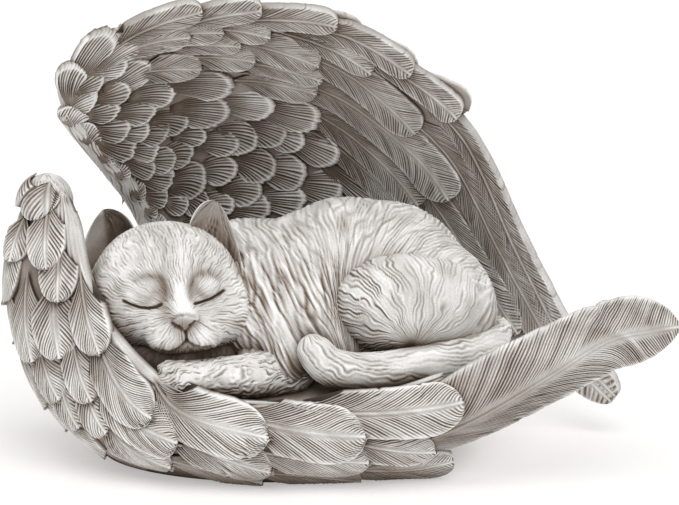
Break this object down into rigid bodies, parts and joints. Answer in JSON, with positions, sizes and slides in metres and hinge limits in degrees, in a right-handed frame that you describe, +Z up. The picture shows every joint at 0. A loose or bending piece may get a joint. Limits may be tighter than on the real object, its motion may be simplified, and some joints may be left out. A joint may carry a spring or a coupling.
{
  "type": "pet memorial statue",
  "caption": "Garden memorial statue of a cat asleep, curled in a nest made of two feathered angel wings, standing on its own flat foot.",
  "frame": {"origin": "on the floor, under the middle of the statue's length and depth", "axes": "+X along the statue towards the tips of the long feathers, -Y towards the front, where the cat's face is, +Z up"},
  "size_m": [0.197, 0.1016, 0.1344],
  "materials": {
    "stone": "matt cast stone look, pale grey with a brown wash in the grooves and whitened ridges"
  },
  "bodies": {
    "root": {"cat_asleep_in_wings": "stone"}
  },
  "joints": []
}
